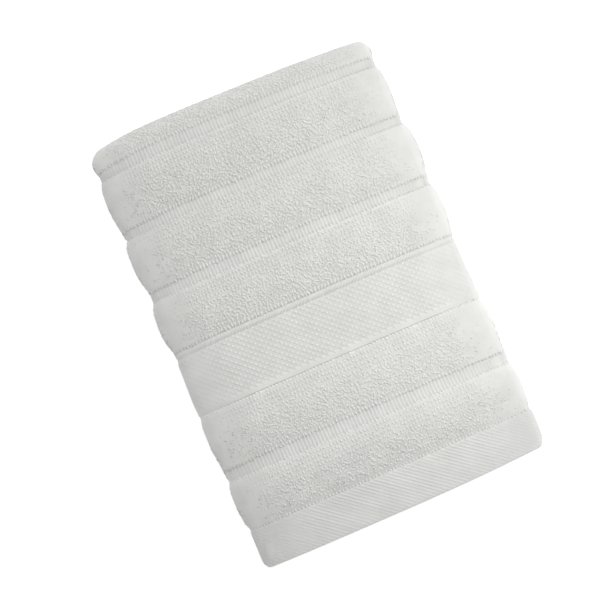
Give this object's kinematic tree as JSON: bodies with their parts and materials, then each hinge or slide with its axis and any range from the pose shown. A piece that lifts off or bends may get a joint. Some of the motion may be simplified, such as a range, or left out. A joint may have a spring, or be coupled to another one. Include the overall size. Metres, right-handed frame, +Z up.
{
  "type": "folded hand towel",
  "caption": "White terry hand towel with ribbed bands, a dotted woven border and a flat hem, folded in thirds and then in half again and again, lying flat.",
  "frame": {"origin": "on the surface the towel lies on, under the middle of its bounding box", "axes": "+X across the folded towel, +Y from the hem towards the outer fold, +Z up from the surface it lies on"},
  "size_m": [0.1772, 0.2624, 0.0439],
  "materials": {
    "white_cotton": "matt terry and woven cotton"
  },
  "bodies": {
    "root": {"towel": "white_cotton"}
  },
  "joints": []
}
